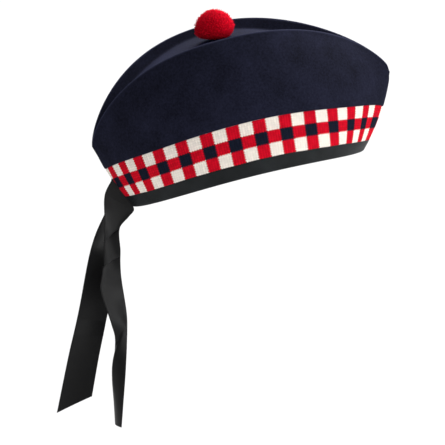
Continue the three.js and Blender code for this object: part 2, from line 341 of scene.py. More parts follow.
def wall_point(angle, side, height):
    """The wall's outer face: a curve with three control points, at the rim, a knee and the ridge."""
    along = np.cos(angle)
    lean = SIDE_LEAN + (end_near(angle, "lean") - SIDE_LEAN) * along**2
    reach = wall_span(angle) / 2
    outward = unit(xyz(side * RIM["half_length"] * np.sin(angle), RIM["half_width"] * along, 0))
    rim = rim_point(angle, side)
    knee = rim + outward * (reach * np.sin(lean))[..., None]
    knee = knee + xyz(0, 0, reach * np.cos(lean))
    share = (height / ridge_height(angle))[..., None]
    lower = rim + (knee - rim) * share
    upper = knee + (ridge_point(angle, side) - knee) * share
    return lower + (upper - lower) * share


def wall_outward(angle, side, height):
    """Direction square to the wall, from small steps along it and up it."""
    near = np.clip(angle, 2 * WALL_STEP, math.pi - 2 * WALL_STEP)
    along = wall_point(near + WALL_STEP, side, height) - wall_point(near - WALL_STEP, side, height)
    up = wall_point(near, side, height + WALL_STEP) - wall_point(near, side, height - WALL_STEP)
    return unit(np.cross(along, up)) * -side


def wall_inside(angle, side, height, depth):
    """A point at a depth below the outer face; on the two seams the depth stays in the seam's plane."""
    angle, height, depth = np.broadcast_arrays(angle, height, depth)
    normal = wall_outward(angle, side, height)
    on_seam = (np.sin(angle) < ON_SEAM)[..., None]
    level = normal * np.array([0, 1, 1])
    mitred = level / np.sum(level**2, axis=-1, keepdims=True)
    return wall_point(angle, side, height) - np.where(on_seam, mitred, normal) * depth[..., None]


def column_angles():
    """Angles at equal steps along the middle of the band, its length being found by adding chords."""
    samples = np.linspace(0, math.pi, BAND["samples"])
    middle = BINDING["height"] + BAND["rows"] * BAND["row_height"] / 2
    points = wall_point(samples, LEFT, np.full_like(samples, middle))
    chords = np.linalg.norm(np.diff(points, axis=0), axis=1)
    lengths = np.concatenate([[0], np.cumsum(chords)])
    return lengths * HALF_ROUND / lengths[-1], samples


COLUMN_TABLE = column_angles()


def angle_at(column):
    """The angle of a column's place, counted from the back seam."""
    return np.interp(column, *COLUMN_TABLE)


def round_trip(per_column):
    """Column numbers right round the cap: up the right side to the front, then back down the left."""
    count = HALF_ROUND * per_column
    column = np.arange(2 * count + 1) / per_column
    side = np.where(column <= HALF_ROUND, RIGHT, LEFT)
    folded = np.where(column <= HALF_ROUND, column, 2 * HALF_ROUND - column)
    return column, angle_at(folded), side


def carried_round(per_column, height, depth):
    """Points of a profile of heights and depths carried right round the cap, one row for each step."""
    _, angle, side = round_trip(per_column)
    angle = angle[:-1, None]
    right = wall_inside(angle, RIGHT, height, depth)
    left = wall_inside(angle, LEFT, height, depth)
    return np.where(side[:-1, None, None] == RIGHT, right, left)


def added(name, data):
    """A new object in the scene that holds a mesh, a camera or a light."""
    made = bpy.data.objects.new(name, data)
    bpy.context.scene.collection.objects.link(made)
    return made


def mesh_piece(name, points, faces, corners_uv, material, sharp=None):
    """An object at the origin from points in millimetres, with a UV pair on each face corner."""
    mesh = bpy.data.meshes.new(name)
    mesh.from_pydata((points * MM).tolist(), [], faces.tolist())
    layer = mesh.uv_layers.new(name="cloth")
    layer.data.foreach_set("uv", np.ascontiguousarray(corners_uv, dtype=np.float32).ravel())
    mesh.polygons.foreach_set("use_smooth", np.ones(len(mesh.polygons), dtype=bool))
    if sharp is not None:
        mesh.set_sharp_from_angle(angle=math.radians(sharp))
    mesh.materials.append(material)
    piece = added(name, mesh)
    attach(piece, "root")
    return piece


def grid_corners(rows, columns, wrap_rows, wrap_columns):
    """Row and column numbers of each quad's corners, counted on past the end where the grid wraps."""
    last_row = rows if wrap_rows else rows - 1
    last_column = columns if wrap_columns else columns - 1
    row, column = np.meshgrid(np.arange(last_row), np.arange(last_column), indexing="ij")
    row = row.ravel()[:, None] + np.array([0, 1, 1, 0])
    column = column.ravel()[:, None] + np.array([0, 0, 1, 1])
    return row, column


def outward_faces(points, faces, corners_uv):
    """The same faces, turned round if the volume they enclose comes out below zero."""
    a, b, c, d = (points[faces[:, k]] for k in range(4))
    volume = np.sum(a * np.cross(b, c)) + np.sum(a * np.cross(c, d))
    if volume < 0:
        return faces[:, ::-1], corners_uv[:, ::-1]
    return faces, corners_uv


def swept_body(sections, uv, ring):
    """A closed body through loops of equal size: quads between neighbours, ladder caps on open ends."""
    rows, columns = sections.shape[:2]
    row, column = grid_corners(rows, columns, ring, True)
    faces = (row % rows) * columns + column % columns
    corners_uv = uv[row, column]
    if not ring:
        j = np.arange(columns // 2 - 1)
        first = np.stack([j, j + 1, columns - 2 - j, columns - 1 - j], axis=1)
        last = first[:, ::-1]
        faces = np.concatenate([faces, first, last + (rows - 1) * columns])
        corners_uv = np.concatenate([corners_uv, uv[0, first], uv[rows - 1, last]])
    points = sections.reshape(-1, 3)
    return points, *outward_faces(points, faces, corners_uv)


def loop_uv(u, v):
    """A UV pair for each place of a body's loops, the last place being met again where a loop closes."""
    pairs = np.stack(np.broadcast_arrays(u, v), axis=-1)
    return np.concatenate([pairs, pairs[:, -1:]], axis=1)


def panel_columns():
    """Columns along a panel at even steps, with closer ones beside its two seams."""
    even = np.linspace(0, HALF_ROUND, HALF_ROUND * PANEL_GRID["per_column"] + 1)
    close = np.linspace(0, even[1], PANEL_GRID["beside_seam"] + 1)[1:-1]
    return np.unique(np.concatenate([even, close, HALF_ROUND - close]))


def crown_panel(name, side, material):
    """A wool side panel: up the wall's outer face, over the ridge in a half circle, down inside."""
    grid = PANEL_GRID
    columns = panel_columns()
    angle = angle_at(columns)[:, None]
    ridge = ridge_height(angle)
    roll = CLOTH / 2
    foot = BAND_TOP + PANEL["foot_clear"]
    rise = np.linspace(0, 1, grid["heights"])[None, :] ** PANEL["closer"]
    outer = foot + (ridge - roll - foot) * rise
    # The lower edge turns in over the band, the stitched ridge stands out, and the seams sink.
    turned = PANEL["turn_in"] * (1 - smooth_step(0, PANEL["turn_height"], outer - foot))
    welt = PANEL["welt"] * smooth_step(ridge - PANEL["welt_height"], ridge - roll, outer)
    off_seam = np.abs(wall_point(angle, side, outer)[..., 0])
    sunk = SEAM["sink"] * bell(off_seam, SEAM["spread"])
    bend = np.tile(np.linspace(0, math.pi, grid["roll"])[1:-1], (len(columns), 1))
    over = ridge - roll + roll * np.sin(bend)
    over_depth = roll - (roll + PANEL["welt"]) * np.cos(bend)
    inner = foot + (ridge - roll - foot) * np.linspace(1, 0, grid["inside"])[None, :]
    height = np.concatenate([outer, over, inner], axis=1)
    depth = np.concatenate([turned - welt + sunk, over_depth, np.full_like(inner, CLOTH)], axis=1)
    points = wall_inside(angle, side, height, depth)
    from_tip = np.linalg.norm(points - ridge_point(np.array(math.pi), side), axis=-1)
    points[..., 1] += NOSE["blunt"] * bell(from_tip, NOSE["spread"])
    points[..., 0] = side * np.maximum(side * points[..., 0], 0)
    from_crest = np.concatenate([ridge - outer, roll * np.cos(bend), inner - ridge], axis=1)
    body = swept_body(worn(points), loop_uv(columns[:, None], from_crest), ring=False)
    piece = mesh_piece(name, *body, material, sharp=SHARP["wool"])
    return piece


def top_half_width(angle, into_cloth=CLOTH, clear=SEAM_GAP):
    """Half the width between the panels at a depth into their cloth, as a rule clear of its inside."""
    normal = wall_outward(angle, LEFT, ridge_height(angle))
    level = np.hypot(normal[..., 0], normal[..., 1])
    inset = into_cloth * level + clear
    return ridge_point(angle, LEFT)[..., 0] - inset * level / normal[..., 0]


def floor_depth(angle):
    """How far the top's floor lies below its edges: less by a bell over the crown, less where narrow."""
    lift = TOP["lift"] * bell(angle - TOP["lift_angle"], TOP["lift_spread"])
    narrow = TOP["fullest"] * np.maximum(top_half_width(angle), 0) * math.tan(TOP["slope"])
    return np.minimum(TOP["depth"] - lift, narrow)


def top_point(angle, x):
    """The top's upper face: the lesser of a slope from each edge and the floor, rounded where they meet.

    Past its edge it slopes down again, into the seam.
    """
    ridge = ridge_point(angle, LEFT)
    climb = np.abs(top_half_width(angle) - np.abs(x)) * math.tan(TOP["slope"])
    floor = floor_depth(angle)
    fillet = np.minimum(TOP["fillet"], TOP["fillet_share"] * floor)
    depth = (climb + floor - np.sqrt((climb - floor) ** 2 + fillet**2) + fillet) / 2
    return xyz(x, ridge[..., 1], ridge[..., 2] - TOP["sink"] - depth)


def crown_top(name, material):
    """The wool top: its upper face, and the same face a cloth's thickness below, joined at the edges."""
    grid = TOP_GRID
    samples = np.linspace(0, math.pi, grid["samples"])
    wide = samples[top_half_width(samples, CLOTH / 2, 0) > TOP["tip_half_width"]]
    angle = np.linspace(wide[0], wide[-1], grid["along"])[:, None]
    edge = top_half_width(angle, CLOTH / 2, 0)
    foot = top_half_width(angle) - floor_depth(angle) / math.tan(TOP["slope"])
    foot = np.maximum(foot, TOP["least_floor"] * edge)
    down = np.linspace(0, 1, grid["wall"])[None, :]
    level = np.linspace(-1, 1, grid["floor"])[None, 1:-1]
    left_wall = edge + (foot - edge) * down
    x = np.concatenate([-left_wall, foot * level, left_wall[:, ::-1]], axis=1)
    upper = top_point(angle, x)
    run = ridge_point(angle + RIDGE_STEP, LEFT) - ridge_point(angle - RIDGE_STEP, LEFT)
    above = unit(run[..., [0, 2, 1]] * np.array([0, 1, -1]))
    lower = upper - above * CLOTH
    loop = np.concatenate([upper, lower[:, ::-1]], axis=1)
    from_crest = np.abs(x) - edge - CLOTH / 2
    body = swept_body(worn(loop), loop_uv(angle, np.tile(from_crest, 2)), ring=False)
    piece = mesh_piece(name, *body, material, sharp=SHARP["wool"])
    return piece


def eased(eases, column, row):
    """Squares gained at a place: bells along the band, each leaning from its foot's gain to its top's."""
    gains = [
        bell(column - place, spread) * (foot + (top - foot) * row / BAND["rows"])
        for place, spread, foot, top in eases
    ]
    return sum(gains)


def dice_square(column, row):
    """Number of the square at a place: eased along the right side, then in even steps down the left."""
    right = column + DICE_START + eased(BACK_EASES + SIDE_EASES, column, row)
    front = HALF_ROUND + DICE_START + eased(SIDE_EASES, HALF_ROUND, row)
    share = (column - HALF_ROUND) / HALF_ROUND
    left = front + (2 * HALF_ROUND + DICE_START - front) * share
    left = left + eased(BACK_EASES, 2 * HALF_ROUND - column, row)
    return np.where(column <= HALF_ROUND, right, left)


def diced_band(name, material):
    """The knitted band: a closed ring whose outer face swells in one rib for each column of stitches."""
    per_column = KNIT["wales"] * KNIT["per_wale"]
    column, _, _ = round_trip(per_column)
    foot = BINDING["height"] - KNIT["tuck"]
    back = BAND["inset"] + CLOTH
    hem = BINDING["hem"] + SEAM_GAP
    shown = np.linspace(foot, BAND_TOP, BAND["rows"] * KNIT["rows_per_row"] + 1)
    hidden = [hem, foot - SEAM_GAP]
    inner = [BAND_TOP, (foot + BAND_TOP) / 2, hem]
    height = np.concatenate([hidden, shown, inner])[None, :]
    row = (height - BINDING["height"]) / BAND["row_height"]
    square = dice_square(column[:, None], np.clip(row, 0, BAND["rows"]))
    # The ribs swell as the root of a sine, and flatten out at the band's upper edge.
    swell = np.sqrt(np.abs(np.sin(math.pi * KNIT["wales"] * square[:-1]))) - KNIT["rib_middle"]
    relief = KNIT["relief"] * swell * smooth_step(0, KNIT["flat_edge"], BAND_TOP - height)
    counts = [len(hidden), len(shown), len(inner)]
    on_face = np.repeat([False, True, False], counts)
    plain = np.repeat([back - BAND["edge"], BAND["inset"], back], counts)
    depth = np.where(on_face, plain - relief, plain)
    points = carried_round(per_column, height, depth)
    body = swept_body(worn(points), loop_uv(square, row), ring=True)
    piece = mesh_piece(name, *body, material, sharp=SHARP["trim"])
    return piece


def rim_binding(name, material):
    """The ribbon folded over the rim: down the outer face, round half an ellipse, and up inside."""
    grid = BINDING_GRID
    column, angle, _ = round_trip(grid["per_column"])
    skin = BINDING["cloth"]
    top = BINDING["height"]
    hem = BINDING["hem"]
    far = BAND["inset"] + CLOTH + SEAM_GAP
    near = far - BAND["edge"] - 2 * SEAM_GAP
    middle = (near + far) / 2
    # Both selvedges are thin, so the faces draw in toward the cloth at the top.
    thin = BINDING["selvedge"]
    face = np.concatenate([[top, top - thin], np.linspace(top - 2 * thin, hem, grid["face"])])
    drawn_in = skin * np.concatenate([SELVEDGE_DRAW, np.zeros(grid["face"])])
    bend = np.linspace(0, math.pi, grid["turn"] + 1)[1:-1]
    turn_height = hem - BINDING["turn"] * np.sin(bend)
    turn_depth = middle - (middle - near + skin) * np.cos(bend)
    pocket_height = np.array([top, hem, hem, top])
    pocket_depth = np.array([far, far, near, near])
    height = np.concatenate([face, turn_height, face[::-1], pocket_height])[None, :]
    outer = near - skin + drawn_in
    inner = far + skin - drawn_in[::-1]
    depth = np.concatenate([outer, turn_depth, inner, pocket_depth])[None, :]
    # The upper edge climbs at the back, drops at the front and wanders; the lower edge sags.
    share = (1 + np.cos(angle[:-1, None])) / 2
    place = column[:-1, None]
    wander = sum(high * np.sin(waves * place + start) for high, waves, start in EDGE_WAVES)
    climb = BINDING["back_lift"] * share - BINDING["front_drop"] * (1 - share)
    sag = BINDING["back_sag"] * share + BINDING["front_sag"] * (1 - share)
    up = smooth_step(hem, top, height)
    height = height + (climb + wander) * up - sag * (1 - up)
    points = carried_round(grid["per_column"], height, depth)
    length = column[:, None] * BAND["row_height"]
    profile = np.stack([height[0], np.broadcast_to(depth, height.shape)[0]])
    round_fold = np.concatenate([[0], np.cumsum(np.linalg.norm(np.diff(profile, axis=1), axis=0))])
    body = swept_body(worn(points), loop_uv(length, round_fold[None, :]), ring=True)
    piece = mesh_piece(name, *body, material, sharp=SHARP["trim"])
    return piece


def through_places(places, down):
    """A smooth curve through places: cubics whose slopes weigh each gap by the root of its length."""
    first = 2 * places[:1] - places[1:2]
    last = 2 * places[-1:] - places[-2:-1]
    padded = np.concatenate([first, places, last])
    where = down * (len(places) - 1)
    index = np.minimum(where.astype(int), len(places) - 2)
    t = (where - index)[:, None]
    p0, p1, p2, p3 = (padded[index + k] for k in range(4))
    gap0, gap1, gap2 = (
        np.sqrt(np.linalg.norm(b - a, axis=1))[:, None] for a, b in ((p0, p1), (p1, p2), (p2, p3))
    )
    slope1 = ((p1 - p0) / gap0 - (p2 - p0) / (gap0 + gap1) + (p2 - p1) / gap1) * gap1
    slope2 = ((p2 - p1) / gap1 - (p3 - p1) / (gap1 + gap2) + (p3 - p2) / gap2) * gap1
    c2 = -3 * p1 + 3 * p2 - 2 * slope1 - slope2
    c3 = 2 * p1 - 2 * p2 + slope1 + slope2
    return p1 + slope1 * t + c2 * t**2 + c3 * t**3


def tail_places(rows, side):
    """A tail's places, the sewn end first: a line down the back seam, just inside the band's face."""
    heights = np.array([RIBBON["sewn_top"], RIBBON["sewn_foot"]])
    beside = np.full(2, RIBBON["sewn_right" if side == RIGHT else "sewn_left"])
    top, foot = worn(wall_inside(beside, side, heights, RIBBON["sewn_in"]))
    return np.array([(*top, *foot, 0), *rows], dtype=float)


def ribbon_tail(name, rows, folds, side, material):
    """A tail: lines between two smooth edges, bowed by a parabola and stood out at its pressed folds."""
    places = tail_places(rows, side)
    last = len(places) - 1
    down = np.linspace(0, 1, TAIL_GRID["along"] + 1)
    rear = through_places(places[:, 0:3], down)
    front = through_places(places[:, 3:6], down)
    counted = np.stack([np.arange(last + 1), places[:, 6]], axis=1)
    bow = through_places(counted, down)[:, 1]
    fold_place, *fold_out = np.array(folds, dtype=float).T
    rear_out, front_out = (np.interp(down * last, fold_place, out)[:, None] for out in fold_out)
    across = np.linspace(-1, 1, TAIL_GRID["across"] + 1)
    run = np.gradient(rear, axis=0) + np.gradient(front, axis=0)
    outward = side * unit(np.cross(front - rear, run))
    share = (1 + across)[None, :] / 2
    flat = rear[:, None] + (front - rear)[:, None] * share[..., None]
    bowed = (bow[:, None] * (1 - across**2)[None, :])[..., None] * outward[:, None]
    points = flat + bowed
    points[..., 0] += side * (rear_out + (front_out - rear_out) * share)
    middle = points[:, points.shape[1] // 2]
    length = np.concatenate([[0], np.cumsum(np.linalg.norm(np.diff(middle, axis=0), axis=1))])
    row, column = grid_corners(len(down), len(across), False, False)
    faces = row * len(across) + column
    corners_uv = np.stack([length[row], RIBBON["width"] * (across[column] + 1) / 2], axis=-1)
    piece = mesh_piece(name, points.reshape(-1, 3), faces, corners_uv, material)
    thick = piece.modifiers.new("ribbon_thickness", "SOLIDIFY")
    thick.thickness = RIBBON["cloth"] * MM
    thick.offset = 0
    thick.use_even_offset = False
    return piece


def wool_under(x, y):
    """Height of the wool top under a place on the level cap."""
    angle = np.arccos(np.clip((y + RIDGE["forward"]) / RIDGE["half_length"], -1, 1))
    return top_point(angle, x)[..., 2]


def even_directions(count):
    """Directions spread evenly over a sphere along a spiral that turns by the golden angle."""
    k = np.arange(count) + 0.5
    z = 1 - 2 * k / count
    turn = k * math.pi * (3 - math.sqrt(5))
    level = np.sqrt(1 - z**2)
    return xyz(level * np.cos(turn), level * np.sin(turn), z)


def seated(points, clear):
    """Points of the ball in its place: over a rounded base, level once worn, and clear of the wool.

    A height above the base becomes half the sum of itself and its hypotenuse with the rounding.
    """
    placed = points + BALL_CENTRE
    base = BALL_CENTRE[2] - BALL["base"] / math.cos(TIP_BACK) + points[..., 1] * math.tan(TIP_BACK)
    over = placed[..., 2] - base
    placed[..., 2] = base + (over + np.hypot(over, BALL["base_round"])) / 2
    wool_top = wool_under(placed[..., 0], placed[..., 1]) + clear
    placed[..., 2] = np.maximum(placed[..., 2], wool_top)
    return placed


def round_core(radius):
    """The tied middle of the ball: a cube's six gridded faces pushed out to a sphere, then seated."""
    count = YARN["core_steps"] + 1
    line = np.tan(np.linspace(-math.pi / 4, math.pi / 4, count))
    a, b = np.meshgrid(line, line, indexing="ij")
    one = np.ones_like(a)
    sheets = [
        xyz(one, a, b),
        xyz(-one, b, a),
        xyz(b, one, a),
        xyz(a, -one, b),
        xyz(a, b, one),
        xyz(b, a, -one),
    ]
    points = unit(np.stack(sheets)).reshape(-1, 3) * radius
    points[:, 2] *= np.where(points[:, 2] < 0, 1 - BALL["tuck"], 1)
    row, column = grid_corners(count, count, False, False)
    first_corner = np.arange(len(sheets)) * count**2
    faces = (row * count + column)[None] + first_corner[:, None, None]
    return seated(points, BALL["seat"] / 2), faces.reshape(-1, 4)


def yarn_ball(name, material):
    """Cut strands of yarn from a common middle: tapering tubes, bent a little, round a core."""
    rng = np.random.default_rng(YARN["seed"])
    count = YARN["strands"]
    sides = YARN["sides"]
    rings = YARN["rings"]
    lean = unit(even_directions(count) + rng.normal(0, YARN["stray"], (count, 3)))
    reach = BALL["radius"] * (1 - BALL["tuck"] * np.clip(-lean[:, 2], 0, 1))
    wisp = rng.random(count) < YARN["wisps"]
    reach = reach * (YARN["trim"] + rng.normal(0, YARN["uneven"], count)) + YARN["wisp_length"] * wisp
    t = np.linspace(0, 1, rings)
    along = YARN["root"] + (1 - YARN["root"]) * t
    droop = rng.normal(0, YARN["droop"], (count, 1, 3)) * (t**2)[None, :, None]
    spine = lean[:, None] * (reach[:, None] * along)[..., None] + droop
    side_a = unit(np.cross(lean, rng.normal(0, 1, (count, 3))))
    side_b = np.cross(lean, side_a)
    turn = np.arange(sides) * 2 * math.pi / sides
    taper = np.interp(t, *zip(*YARN_TAPER))
    stout = np.where(wisp, YARN["wisp_width"], 1) * (1 + rng.normal(0, YARN["varied"], count))
    wide = YARN["radius"] * stout[:, None] * taper
    ring = side_a[:, None] * np.cos(turn)[:, None] + side_b[:, None] * np.sin(turn)[:, None]
    points = seated(spine[:, :, None] + ring[:, None] * wide[:, :, None, None], BALL["seat"])
    row, column = grid_corners(rings, sides, False, True)
    tube = (row * sides + column % sides)[:, ::-1]
    tip = np.arange(sides)[None, :] + (rings - 1) * sides
    root = np.arange(sides)[None, ::-1]
    one = np.concatenate([tube, tip, root])
    faces = (one[None] + (np.arange(count) * rings * sides)[:, None, None]).reshape(-1, 4)
    # Strands differ by chance, and shade is painted on those that lean down under the ball.
    pressed = smooth_step(*YARN_PAINTED_SHADE, lean[:, 2])
    shade = (YARN["plainest"] + (1 - YARN["plainest"]) * rng.random(count)) * pressed
    height = np.repeat(t, sides)[one]
    shade_and_height = np.broadcast_arrays(shade[:, None, None], height[None])
    corners_uv = np.stack(shade_and_height, axis=-1).reshape(-1, 4, 2)
    core_points, core_faces = round_core(BALL["radius"] * YARN["core"])
    faces = np.concatenate([faces, core_faces + points.size // 3])
    # The core, seen between strands, is painted part way toward the root's dark, as shade in the gaps.
    corners_uv = np.concatenate([corners_uv, np.full((*core_faces.shape, 2), YARN["core_tone"])])
    # Soft pile is shaded by the way its strands lean, more than by their sides.
    pile = np.broadcast_to(unit(lean[:, None, None] + YARN["rounding"] * ring[:, None]), points.shape)
    normals = np.concatenate([pile.reshape(-1, 3), unit(core_points - BALL_CENTRE)])
    points = np.concatenate([points.reshape(-1, 3), core_points])
    piece = mesh_piece(name, worn(points), faces, corners_uv, material)
    piece.data.normals_split_custom_set_from_vertices(worn(normals).tolist())
    return piece


def linear(code):
    """Linear red, green, blue and alpha from an sRGB hex colour, by the standard curve."""
    parts = [int(code[k : k + 2], 16) / 255 for k in (1, 3, 5)]
    return (*(p / 12.92 if p <= 0.04045 else ((p + 0.055) / 1.055) ** 2.4 for p in parts), 1.0)


def node(tree, kind, links=None, **settings):
    """Add a node with its settings, its inputs fed from a node's first output, a socket or a value."""
    made = tree.nodes.new(kind)
    for key, value in settings.items():
        setattr(made, key, value)
    for socket, value in (links or {}).items():
        source = value.outputs[0] if isinstance(value, bpy.types.Node) else value
        if isinstance(source, bpy.types.NodeSocket):
            tree.links.new(source, made.inputs[socket])
        else:
            made.inputs[socket].default_value = source
    return made


def new_material(name):
    """An empty node material and its tree."""
    material = bpy.data.materials.new(name)
    material.use_nodes = True
    material.node_tree.nodes.clear()
    return material, material.node_tree


def per_metre(size):
    """A texture's scale for features of a size in millimetres."""
    return 1 / (size * MM)


def milled_wool():
    """Worsted cloth, milled and pressed: deep navy, matt, with a short nap, and a highlight painted paler
    along ridges.
    """
    material, tree = new_material("milled_wool_pressed_nap")
    dark = linear("#0a0b15")
    pale = linear("#242639")
    crest_highlight_colour = linear("#2f3145")
    place = node(tree, "ShaderNodeTexCoord").outputs["Object"]
    cloudy = node(
        tree, "ShaderNodeTexNoise",
        {"Vector": place, "Scale": per_metre(WOOL["cloud"]), "Detail": PATCH_DETAIL},
    )
    nap = node(tree, "ShaderNodeTexNoise", {
        "Vector": place,
        "Scale": per_metre(WOOL["nap"]),
        "Detail": NAP["detail"],
        "Roughness": NAP["roughness"],
    })
    fine = node(tree, "ShaderNodeMath", {0: nap, 1: WOOL_TONE["nap"]}, operation="MULTIPLY")
    tone = node(
        tree, "ShaderNodeMath", {0: cloudy, 1: WOOL_TONE["cloud"], 2: fine}, operation="MULTIPLY_ADD"
    )
    share = node(
        tree, "ShaderNodeMapRange",
        {"Value": tone, "From Min": WOOL_TONE["darkest"], "From Max": WOOL_TONE["palest"]},
    )
    cloth = node(
        tree, "ShaderNodeMix", {MIX_SHARE: share, MIX_FROM: dark, MIX_TO: pale}, data_type="RGBA"
    )
    # The second UV number is the distance from a ridge's crest, in millimetres; near the crest a
    # highlight is painted paler.
    uv = node(tree, "ShaderNodeUVMap", uv_map="cloth")
    from_crest = node(tree, "ShaderNodeSeparateXYZ", {0: uv}).outputs["Y"]
    away = node(tree, "ShaderNodeMath", {0: from_crest}, operation="ABSOLUTE")
    # A painted highlight along the crest, where light catches the rolled ridge.
    painted_crest_highlight = node(
        tree, "ShaderNodeMapRange",
        {"Value": away, "From Min": WOOL["crest_highlight_fade"], "From Max": WOOL["painted_crest_highlight"]},
        interpolation_type="SMOOTHSTEP",
    )
    colour = node(
        tree, "ShaderNodeMix",
        {MIX_SHARE: painted_crest_highlight, MIX_FROM: cloth.outputs[MIXED], MIX_TO: crest_highlight_colour}, data_type="RGBA",
    )
    bump = node(
        tree, "ShaderNodeBump",
        {"Height": nap, "Strength": NAP["bump"], "Distance": WOOL["relief"] * MM},
    )
    shader = node(tree, "ShaderNodeBsdfPrincipled", {
        "Base Color": colour.outputs[MIXED],
        "Roughness": 0.95,
        "Specular IOR Level": 0.08,
        "Sheen Weight": 0.08,
        "Sheen Roughness": 0.3,
        "Sheen Tint": linear("#5f6cd0"),
        "Normal": bump,
    })
    node(tree, "ShaderNodeOutputMaterial", {"Surface": shader})
    return material


def diced_knit():
    """Wool knitted in red, white and navy squares: V stitches in upright ribs, edges stepped by them."""
    material, tree = new_material("wool_knitted_in_dice")
    red = linear("#d60b25")
    white = linear("#fbf1e6")
    navy = linear("#161b2b")
    uv = node(tree, "ShaderNodeUVMap", uv_map="cloth")
    place = node(tree, "ShaderNodeSeparateXYZ", {0: uv}).outputs
    wale = node(tree, "ShaderNodeMath", {0: place["X"], 1: float(KNIT["wales"])}, operation="MULTIPLY")
    course = node(
        tree, "ShaderNodeMath", {0: place["Y"], 1: float(KNIT["courses"])}, operation="MULTIPLY"
    )
    # Each leg of a V climbs from the middle of its rib to its edge.
    leg = node(tree, "ShaderNodeMath", {0: wale, 1: HALF_STITCH}, operation="PINGPONG")
    slanted = node(
        tree, "ShaderNodeMath", {0: leg, 1: KNIT["slant"], 2: course}, operation="MULTIPLY_ADD"
    )
    # The colours change on whole stitches: a square's sides are toothed by courses, its ends by ribs.
    side_tooth = node(tree, "ShaderNodeMath", {0: course, 1: HALF_STITCH}, operation="PINGPONG")
    side_step = node(
        tree, "ShaderNodeMapRange", {
            "Value": side_tooth,
            "From Max": HALF_STITCH,
            "To Min": -DICE_TOOTH["side"],
            "To Max": DICE_TOOTH["side"],
        },
    )
    toothed_column = node(tree, "ShaderNodeMath", {0: place["X"], 1: side_step}, operation="ADD")
    column = node(tree, "ShaderNodeMath", {0: toothed_column}, operation="FLOOR")
    end_step = node(
        tree, "ShaderNodeMapRange", {
            "Value": leg,
            "From Max": HALF_STITCH,
            "To Min": -DICE_TOOTH["end"],
            "To Max": DICE_TOOTH["end"],
        },
    )
    toothed_row = node(tree, "ShaderNodeMath", {0: place["Y"], 1: end_step}, operation="ADD")
    whole_row = node(tree, "ShaderNodeMath", {0: toothed_row}, operation="FLOOR")
    row = node(tree, "ShaderNodeClamp", {"Value": whole_row, "Min": 0.0, "Max": float(BAND["rows"] - 1)})
    both = node(tree, "ShaderNodeMath", {0: column, 1: row}, operation="ADD")
    odd_square = node(tree, "ShaderNodeMath", {0: both, 1: 2.0}, operation="FLOORED_MODULO")
    odd_row = node(tree, "ShaderNodeMath", {0: row, 1: 2.0}, operation="FLOORED_MODULO")
    plain = node(
        tree, "ShaderNodeMix", {MIX_SHARE: odd_row, MIX_FROM: white, MIX_TO: navy}, data_type="RGBA"
    )
    dice = node(
        tree, "ShaderNodeMix",
        {MIX_SHARE: odd_square, MIX_FROM: red, MIX_TO: plain.outputs[MIXED]}, data_type="RGBA",
    )
    # Stitches differ a little in tone by chance, and painted shade darkens the grooves between ribs and
    # the dips between V's.
    whole_wale = node(tree, "ShaderNodeMath", {0: wale}, operation="FLOOR")
    whole_course = node(tree, "ShaderNodeMath", {0: slanted}, operation="FLOOR")
    stitch = node(tree, "ShaderNodeCombineXYZ", {"X": whole_wale, "Y": whole_course})
    noise = node(tree, "ShaderNodeTexWhiteNoise", {"Vector": stitch}, noise_dimensions="2D")
    swell = node(tree, "ShaderNodeMath", {0: slanted, 1: HALF_STITCH}, operation="PINGPONG")
    shade = STITCH_SHADE["least"]
    for source, key in ((noise.outputs["Value"], "chance"), (swell, "swell"), (leg, "leg")):
        shade = node(
            tree, "ShaderNodeMath", {0: source, 1: STITCH_SHADE[key], 2: shade}, operation="MULTIPLY_ADD"
        )
    # White wool passes light from rib to rib, so its grooves are only half as dark.
    on_white = node(
        tree, "ShaderNodeMath", {0: odd_square, 1: odd_row}, operation="SUBTRACT", use_clamp=True
    )
    depth = node(
        tree, "ShaderNodeMath",
        {0: on_white, 1: -STITCH_SHADE["white_evens"], 2: 1.0}, operation="MULTIPLY_ADD",
    )
    shaded = node(
        tree, "ShaderNodeMix",
        {MIX_SHARE: depth, MIX_FROM: dice.outputs[MIXED], MIX_TO: shade},
        data_type="RGBA", blend_type="MULTIPLY",
    )
    bump = node(
        tree, "ShaderNodeBump",
        {"Height": swell, "Strength": KNIT["bump"], "Distance": KNIT["stitch"] * MM},
    )
    shader = node(tree, "ShaderNodeBsdfPrincipled", {
        "Base Color": shaded.outputs[MIXED],
        "Roughness": 0.9,
        "Specular IOR Level": 0.06,
        "Normal": bump,
    })
    node(tree, "ShaderNodeOutputMaterial", {"Surface": shader})
    return material


